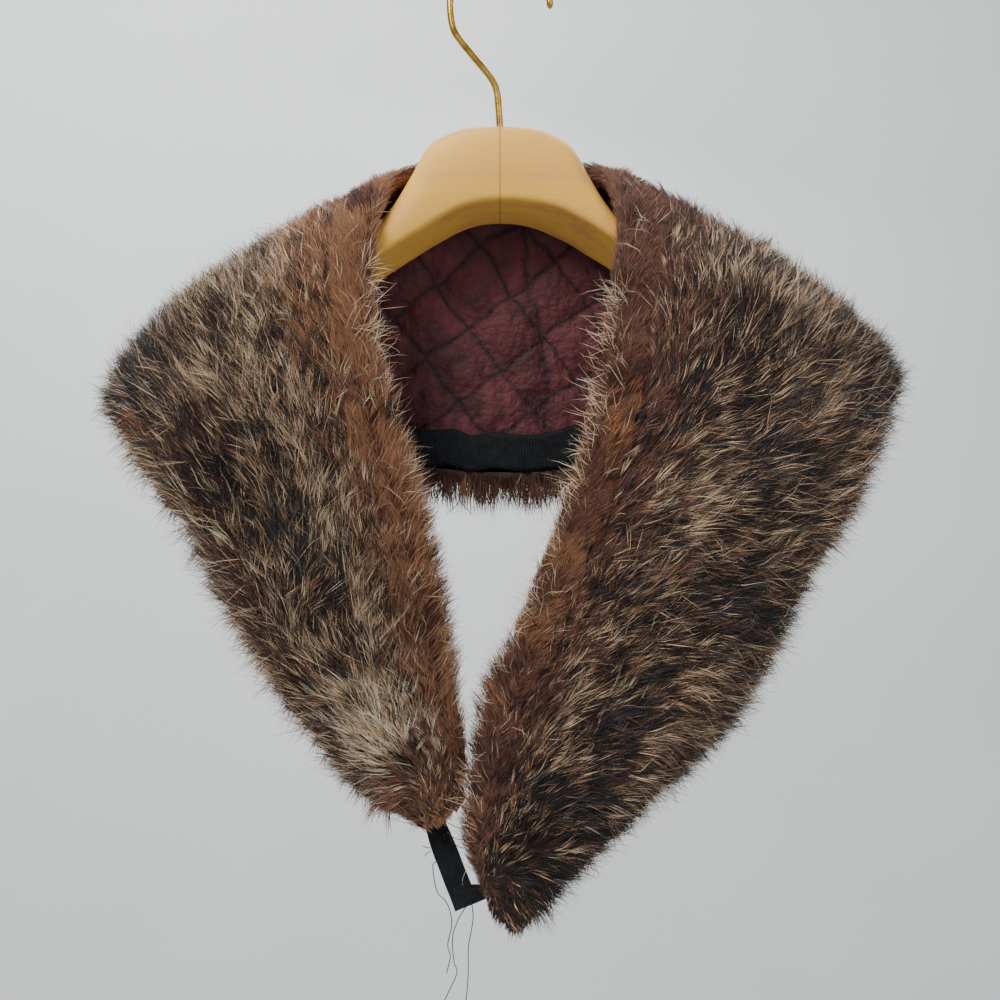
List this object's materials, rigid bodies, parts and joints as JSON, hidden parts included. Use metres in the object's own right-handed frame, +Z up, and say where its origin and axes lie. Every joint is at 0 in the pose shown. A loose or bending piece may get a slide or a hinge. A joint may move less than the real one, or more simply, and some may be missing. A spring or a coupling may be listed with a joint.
{
  "type": "fur collar stole on a wooden coat hanger",
  "caption": "Shawl-shaped fur collar stole with a quilted lining and a ribbon closing tab, hung over a contoured wooden coat hanger with a wire hook.",
  "frame": {"origin": "inside top of the hook's crook, where a rail would bear", "axes": "+Z up, +X to the right as seen from the front, the front faces -Y"},
  "size_m": [0.4035, 0.1033, 0.5471],
  "materials": {
    "fur": "long ticked brown and cream fur",
    "neck_fur": "short chestnut fur",
    "lining": "burgundy satin",
    "ribbon": "black ribbed ribbon",
    "thread": "black sewing thread",
    "wood": "clear satin varnish",
    "hook": "polished"
  },
  "bodies": {
    "root": {"fur_back": "fur", "fur_front_left": "fur", "fur_front_right": "fur", "neck_band_back": "neck_fur", "neck_band_left": "neck_fur", "neck_band_right": "neck_fur", "lining_back": "lining", "lining_left": "lining", "lining_right": "lining", "hem_ribbon_back": "ribbon", "hem_ribbon_left": "ribbon", "hem_ribbon_right": "ribbon", "tip_binding_left": "ribbon", "tip_binding_right": "ribbon", "closing_tab": "ribbon", "thread_left": "thread", "thread_middle": "thread", "thread_right": "thread", "hanger_arm_left": "wood", "hanger_arm_right": "wood", "hanger_hook": "hook"}
  },
  "joints": []
}
